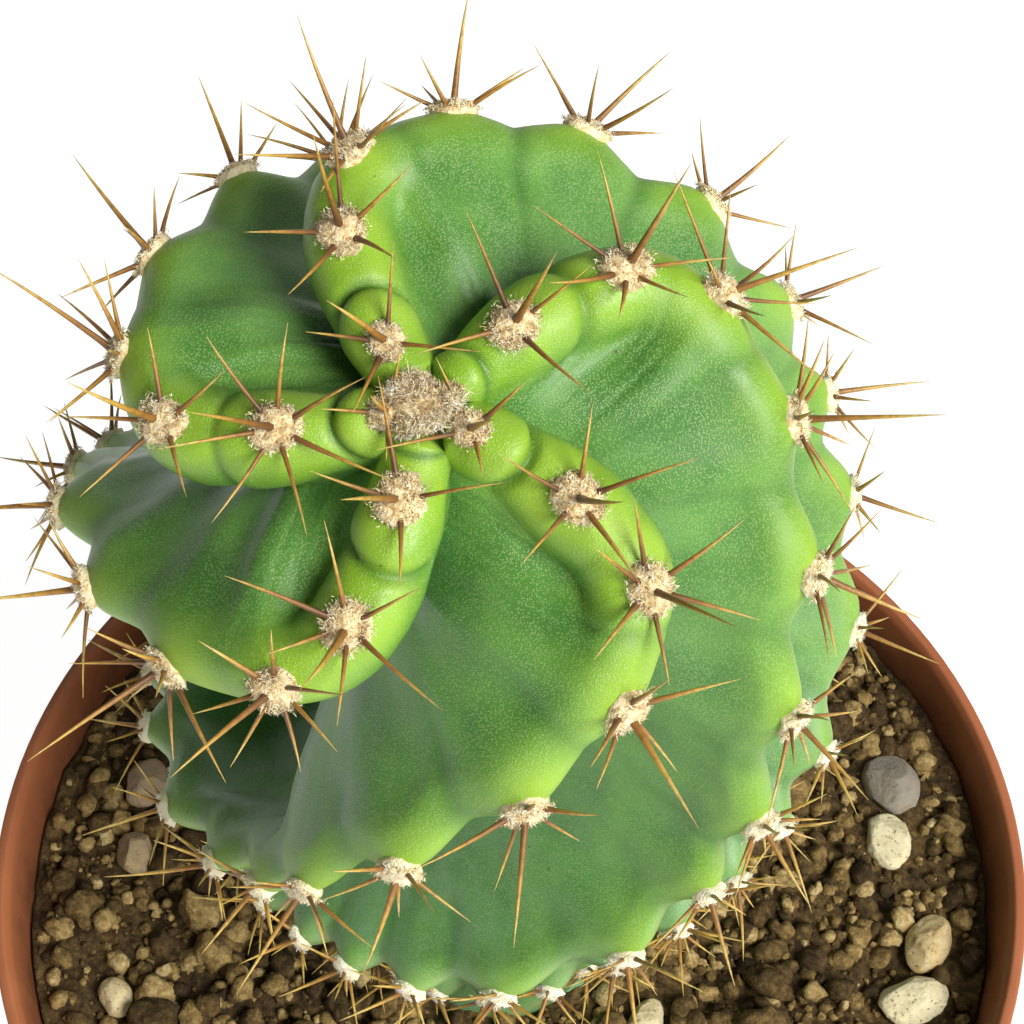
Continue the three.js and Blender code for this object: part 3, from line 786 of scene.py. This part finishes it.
def apex_fibres(rng, count):
    """Hairs in clumps on the woolly hump at the apex."""
    middle, up, side, away = axis_at(APEX_DEPTH)
    angle, far = on_disc(rng, count)
    lumpy = 1 + 0.18 * np.sin(3 * angle + 1) + 0.12 * np.sin(5 * angle)
    u = far * np.cos(angle) * lumpy * APEX_FELT[0]
    v = far * np.sin(angle) * lumpy * APEX_FELT[1]
    root = middle + side * u[:, None] + away * v[:, None]
    clump = noise(root, 1.7, 12)
    root = root + up * (APEX_FELT[2] * np.sqrt(1.02 - far ** 2) + 0.1 + 0.75 * clump)[:, None]
    lean = side * u[:, None] * 0.15 + away * v[:, None] * 0.15
    direction = unit(up * 0.35 + lean + rng.normal(size=(count, 3)) * 0.6)
    # Painted shade: fibres lying low between the clumps get a darker tone, those on top of the clumps a
    # lighter one.
    tone = 0.62 + 0.4 * clump + rng.normal(size=count) * 0.22
    tone = np.clip(tone - 0.5 * (rng.uniform(0, 1, count) < 0.15), 0, 1)
    length = rng.uniform(0.6, 1.5, count)
    width = rng.uniform(0.035, 0.065, count)
    return fibres(rng, root, direction, length, width, tone)


def build_felt(frames, name, each, seed, material, apex_count=0):
    """Loose fibres of some areoles, and of the apex where a count is given for it."""
    rng = np.random.default_rng(seed)
    points, faces, tone = areole_fibres(rng, frames, each)
    if apex_count:
        more_points, more_faces, more_tone = apex_fibres(rng, apex_count)
        faces = np.concatenate([faces, more_faces + len(points)])
        points = np.concatenate([points, more_points])
        tone = np.concatenate([tone, more_tone])
    return make_piece(name, points, faces, material, True, {"tone": tone})


def build_wool_mound(material):
    """Woolly hump that fills the apex between the youngest tubercles."""
    points, faces = ball()
    middle, up, side, away = axis_at(APEX_DEPTH)
    rough = 1 + 0.12 * noise(points * 5, 1.6, 8)
    local = points * rough[:, None] * APEX_PAD
    world = middle + local[:, :1] * side + local[:, 1:2] * away + local[:, 2:] * up
    return make_piece("apex_wool", world, faces, material, True, {"tone": np.full(len(points), 0.35)})


def spine_layout(frames):
    """Root, direction, bend, length, thickness, tone and age of every spine."""
    n, point, out, along, across = frames
    rng = np.random.default_rng(41)
    rows = []
    for k in range(len(n)):
        around = int(rng.integers(5, 8)) if n[k] > 4 else 4
        scale = float(mix(1.0, 0.72, smooth(5, 60, n[k]))) * float(smooth(-4, 4, n[k]))
        start = rng.uniform(0, TAU)
        for i in range(around + 1):
            central = i == around
            leans, lengths, radii = CENTRAL_SPINE if central else RADIAL_SPINE
            angle = start + (i + rng.uniform(-0.18, 0.18)) * TAU / around
            lean, length = rng.uniform(*leans), rng.uniform(*lengths)
            if central:
                angle = rng.normal() * 0.5
            flat = along[k] * math.cos(angle) + across[k] * math.sin(angle)
            direction = out[k] * math.cos(lean) + flat * math.sin(lean)
            root = point[k] + out[k] * 0.1 + flat * (0.0 if central else rng.uniform(0.9, 1.5))
            bend = rng.normal(size=3) * 0.35 - out[k] * 0.2
            thick = rng.uniform(*radii) * (0.65 + 0.35 * scale)
            rows.append((root, direction, bend, length * scale, thick, rng.uniform(), n[k]))
    return rows


def build_spines(frames, material):
    """Bent tapering spines, each a six-sided tube."""
    rows = spine_layout(frames)
    sides, rings = 6, 6
    root, direction, bend = (np.array([r[i] for r in rows]) for i in range(3))
    length, thick, tone, age = (np.array([r[i] for r in rows]) for i in range(3, 7))
    first = unit(np.cross(direction, np.array([0.3, 0.5, 0.8])))
    second = np.cross(direction, first)
    t = np.linspace(0, 1, rings)
    place = (root[:, None] + direction[:, None] * (length[:, None] * (t * 1.06 - 0.06))[..., None]
             + bend[:, None] * (length[:, None] * 0.12 * t ** 2)[..., None])
    taper = thick[:, None] * (1 - t) ** 0.8 * (1 + 0.35 * np.exp(-t / 0.06)) + 0.02
    angle = (np.arange(sides) * TAU / sides)[:, None]
    ring = np.cos(angle) * first[:, None, None] + np.sin(angle) * second[:, None, None]
    points = place[:, :, None] + ring * taper[..., None, None]
    faces = copies(grid_faces(rings, sides), len(rows), rings * sides)
    along = np.broadcast_to(t[None, :, None], points.shape[:3])
    tones = np.broadcast_to((tone * 0.7 + smooth(10, 60, age) * 0.35)[:, None, None], points.shape[:3])
    return make_piece("spines", points.reshape(-1, 3), faces[:, ::-1], material, True,
                      {"along": along.ravel(), "tone": tones.ravel()})


# Pot

def inner_radius(z):
    """Radius of the pot's inside at a height."""
    return mix(FOOT_RADIUS - WALL, RIM_RADIUS - LIP_WIDTH, (z - FLOOR) / (POT_HEIGHT - FLOOR))


def rounded(profile, radius):
    """Profile with each corner replaced by a short curve."""
    steps = 4
    out = [profile[0]]
    for a, b, c in zip(profile, profile[1:], profile[2:]):
        a, b, c = np.array(a, float), np.array(b, float), np.array(c, float)
        reach = min(radius, np.linalg.norm(b - a) * 0.45, np.linalg.norm(c - b) * 0.45)
        p, q = b + unit(a - b) * reach, b + unit(c - b) * reach
        for i in range(steps + 1):
            t = i / steps
            out.append(tuple((1 - t) ** 2 * p + 2 * t * (1 - t) * b + t * t * q))
    out.append(profile[-1])
    return out


def build_pot(material):
    """Tapered pot with a band under its lip, a wall and a flat floor."""
    band = POT_HEIGHT - BAND_HEIGHT
    under = inner_radius(band) + WALL
    outside = [
        (0.01, 0), (30, 0), (FOOT_RADIUS - 1, 0), (FOOT_RADIUS, 1.5),
        (mix(FOOT_RADIUS, under, 0.5), band / 2), (under, band), (RIM_RADIUS - 1.7, band + 1.2),
        (RIM_RADIUS, POT_HEIGHT - 3), (RIM_RADIUS, POT_HEIGHT - 0.2),
    ]
    inside = [
        (RIM_RADIUS - 0.9, POT_HEIGHT), (RIM_RADIUS - LIP_WIDTH + 0.9, POT_HEIGHT),
        (RIM_RADIUS - LIP_WIDTH, POT_HEIGHT - 1.2), (inner_radius(band), band), (inner_radius(40), 40),
        (inner_radius(FLOOR + 2), FLOOR + 2), (inner_radius(FLOOR) - 2, FLOOR), (20, FLOOR), (0.01, FLOOR),
    ]
    line = np.array(rounded(outside + inside, 1.3))
    sides = 144
    radius, height = line.T
    within = (radius < inner_radius(height) + 0.4) & (height > FLOOR - 0.5)
    shade = np.repeat(within * smooth(POT_HEIGHT - 1, POT_HEIGHT - 9, height), sides)
    faces = grid_faces(len(line), sides)[:, ::-1]
    pot = make_piece("pot_body", lathe(line, sides).reshape(-1, 3), faces, material, True, {"inside": shade})
    drill_holes(pot)
    return pot


def drill_holes(pot):
    """Drain holes through the floor."""
    for i in range(DRAIN_HOLES):
        turn = i * TAU / DRAIN_HOLES
        place = Vector((DRAIN_CIRCLE * math.cos(turn), DRAIN_CIRCLE * math.sin(turn), 0)) * MM
        bpy.ops.mesh.primitive_cylinder_add(vertices=32, radius=DRAIN_RADIUS * MM, depth=0.02, location=place)
        drill = bpy.context.active_object
        cut = pot.modifiers.new("hole", "BOOLEAN")
        cut.operation, cut.object, cut.solver = "DIFFERENCE", drill, "EXACT"
        bpy.context.view_layer.objects.active = pot
        bpy.ops.object.modifier_apply(modifier=cut.name)
        bpy.data.objects.remove(drill)


# Soil and stones

def soil_height(x, y):
    """Height of the uneven soil at a place."""
    flat = np.stack([x, y, np.zeros_like(x)], -1)
    return SOIL_LEVEL + sum(noise(flat, size, seed) * height for size, seed, height in SOIL_LUMPS)


def build_soil(material):
    """Filling of the pot with an uneven top, open where the stem stands."""
    sides, rings = 300, 80
    foot = axis_at(PLUG_DEPTH)[0][:2]
    t = np.linspace(0, 1, rings)
    angle = np.arange(sides) * TAU / sides
    outer, inner = inner_radius(SOIL_LEVEL) - 0.3, PLUG_RADIUS - 0.6
    radius = mix(outer, inner, t)[:, None]
    x = t[:, None] * foot[0] + radius * np.cos(angle)
    y = t[:, None] * foot[1] + radius * np.sin(angle)
    z = soil_height(x, y)
    side = np.stack([x[0] * 0.75, y[0] * 0.75, np.full(sides, FLOOR + 0.4)], -1)
    upper = np.stack([x[0], y[0], np.full(sides, SOIL_LEVEL - 4.0)], -1)
    points = np.concatenate([side[None], upper[None], np.stack([x, y, z], -1)])
    # Painted shade: the bed under the crumbs is darker than most crumbs so the gaps between them read dark.
    tone = np.concatenate([np.full((2, sides), 0.3), 0.2 + 0.2 * noise(points[2:], 3, 31)])
    flat = np.concatenate([points.reshape(-1, 3), [[0, 0, FLOOR + 0.4]]])
    quads = grid_faces(len(points), sides)
    triangles = np.concatenate([
        quads[:, [0, 2, 1]], quads[:, [0, 3, 2]],
        np.stack([np.arange(sides), np.full(sides, len(flat) - 1), (np.arange(sides) + 1) % sides], -1),
    ])
    tone = np.append(tone.ravel(), 0.3)
    return make_piece("soil_bed", flat, triangles[:, ::-1], material, True, {"tone": tone})


def build_crumbs(name, count, detail, sizes, tones, seed, material):
    """Loose crumbs of the mix strewn over the bed."""
    rng = np.random.default_rng(seed)
    foot = axis_at(PLUG_DEPTH)[0][:2]
    margin = sizes[1] * 0.3
    places = []
    while len(places) < count:
        x, y = rng.uniform(-80, 80, 2)
        in_pot = math.hypot(x, y) < inner_radius(SOIL_LEVEL) - 0.6 - margin
        off_stones = all(math.hypot(x - s[0], y - s[1]) > s[3] * 0.5 + margin for s in STONES)
        past_stem = math.hypot(x - foot[0], y - foot[1]) > PLUG_RADIUS + 0.5 + margin
        if in_pot and past_stem and off_stones:
            places.append((x, y))
    places = np.array(places)
    size = mix(sizes[0], sizes[1], rng.uniform(0, 1, count) ** 2.0)
    points, faces = ball(detail)
    turns = random_turns(rng, count)
    shape = rng.uniform(0.55, 1.0, (count, 1, 3)) * size[:, None, None] * 0.5
    own = points[None] * 1.3 + rng.uniform(-50, 50, (count, 1, 3))
    swell = 1 + 0.38 * noise(own, 0.9, seed) + 0.2 * noise(own, 0.4, seed + 1)
    local = np.einsum("kij,kvj->kvi", turns, points[None] * swell[..., None] * shape)
    height = soil_height(places[:, 0], places[:, 1]) + size * rng.uniform(-0.1, 0.25, count)
    world = local + np.concatenate([places, height[:, None]], 1)[:, None]
    faces = copies(faces, count, len(points))
    tone = np.repeat(rng.uniform(*tones, count), len(points))
    return make_piece(name, world.reshape(-1, 3), faces, material, detail > 1, {"tone": tone})


def build_stone(number, stone, material):
    """Stone with a few flattened sides and a rough face, half sunk in the soil."""
    x, y, length, width, thick, turn, tone = stone
    points, faces = ball(5)
    seed = 200 + number
    rng = np.random.default_rng(seed)
    for _ in range(9):
        cut = unit(rng.normal(size=3))
        reach = rng.uniform(0.72, 0.92)
        over = np.maximum(points @ cut - reach, 0)
        points = points - over[:, None] * cut * 0.9
    points = points * (1 + 0.06 * noise(points, 0.6, seed) + 0.03 * noise(points, 0.2, seed))[:, None]
    points = points * np.array([length, width, thick]) * 0.52
    c, s = math.cos(math.radians(turn)), math.sin(math.radians(turn))
    points = points @ np.array([[c, s, 0], [-s, c, 0], [0, 0, 1]])
    points = points + [x, y, SOIL_LEVEL + 0.9]
    tone = np.full(len(points), tone)
    return make_piece(f"stone_{number}_rough", points, faces, material, True, {"tone": tone})


# Camera, light and floor

def build_camera():
    data = bpy.data.cameras.new("camera")
    data.sensor_width = SENSOR
    data.lens = CAMERA_LENS
    data.clip_start = 0.01
    camera = bpy.data.objects.new("camera", data)
    camera.location = Vector(CAMERA_PLACE) * MM
    camera.rotation_euler = (math.radians(90 - CAMERA_PITCH), 0, 0)
    bpy.context.scene.collection.objects.link(camera)
    bpy.context.scene.camera = camera


def add_light(name, place, watts, color):
    data = bpy.data.lights.new(name, "AREA")
    data.shape = "DISK"
    data.size = LIGHT_WIDTH
    data.energy = watts
    data.color = color
    light = bpy.data.objects.new(name, data)
    light.location = place
    light.rotation_euler = (Vector(LIGHT_TARGET) - Vector(place)).to_track_quat("-Z", "Y").to_euler()
    bpy.context.scene.collection.objects.link(light)


def build_world():
    """White behind the object, and a faint even light on it."""
    world = bpy.data.worlds.new("white")
    bpy.context.scene.world = world
    world.use_nodes = True
    tree = world.node_tree
    back = tree.nodes["Background"]
    back.inputs["Color"].default_value = (1, 1, 1, 1)
    seen = tree.nodes.new("ShaderNodeLightPath")
    level = tree.nodes.new("ShaderNodeMapRange")
    level.inputs["To Min"].default_value = WORLD_LIGHT
    level.inputs["To Max"].default_value = 1.0
    tree.links.new(seen.outputs["Is Camera Ray"], level.inputs["Value"])
    tree.links.new(level.outputs["Result"], back.inputs["Strength"])


def build_floor():
    """Pale floor that glows almost white and still takes soft shadows."""
    s = Shader("floor_white")
    glow = s.add("ShaderNodeEmission")
    glow.inputs["Strength"].default_value = FLOOR_GLOW
    matt = s.add("ShaderNodeBsdfDiffuse")
    matt.inputs["Color"].default_value = (FLOOR_GREY, FLOOR_GREY, FLOOR_GREY, 1)
    both = s.add("ShaderNodeAddShader")
    s.feed(both.inputs[0], glow.outputs[0])
    s.feed(both.inputs[1], matt.outputs[0])
    output = next(x for x in s.tree.nodes if x.type == "OUTPUT_MATERIAL")
    s.feed(output.inputs["Surface"], both.outputs[0])
    corners = [(x * FLOOR_HALF, y * FLOOR_HALF, FLOOR_LEVEL) for x, y in ((-1, -1), (1, -1), (1, 1), (-1, 1))]
    make_piece("floor", corners, [[0, 1, 2, 3]], s.material)


def build_stage():
    view = bpy.context.scene.view_settings
    view.view_transform = "Standard"
    view.look = "None"
    build_world()
    for name, (place, watts, color) in LIGHTS.items():
        add_light(name, place, watts, color)
    build_floor()


def finish_piece(piece, slot, *nodes):
    """Body and replaced nodes of a piece; the slot is not used."""
    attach(piece, "root")
    if nodes:
        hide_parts(*nodes)


build_camera()
build_stage()

skin = skin_material()
felt = felt_material()
spine = spine_material()
soil = soil_material()
stone = stone_material()

frames = areole_frames()
finish_piece(build_skin(skin), "cactus", "cactus")
finish_piece(build_collar(skin), "cactus")
finish_piece(build_pads(frames, felt), "cactus")
finish_piece(build_wool_mound(felt), "cactus")
upper_frames = [part[:UPPER_AREOLES] for part in frames]
lower_frames = [part[UPPER_AREOLES:] for part in frames]
finish_piece(build_felt(upper_frames, "felt_upper", UPPER_FIBRES, 5, felt, APEX_FIBRES), "cactus")
finish_piece(build_felt(lower_frames, "felt_lower", LOWER_FIBRES, 6, felt), "cactus")
finish_piece(build_spines(frames, spine), "cactus")
finish_piece(build_pot(pot_material()), "pot", "pot")
finish_piece(build_soil(soil), "soil", "soil")
for crumbs in CRUMBS:
    finish_piece(build_crumbs(*crumbs, soil), "soil")
for number, each in enumerate(STONES, 1):
    finish_piece(build_stone(number, each, stone), "stone", f"stone_{number}")
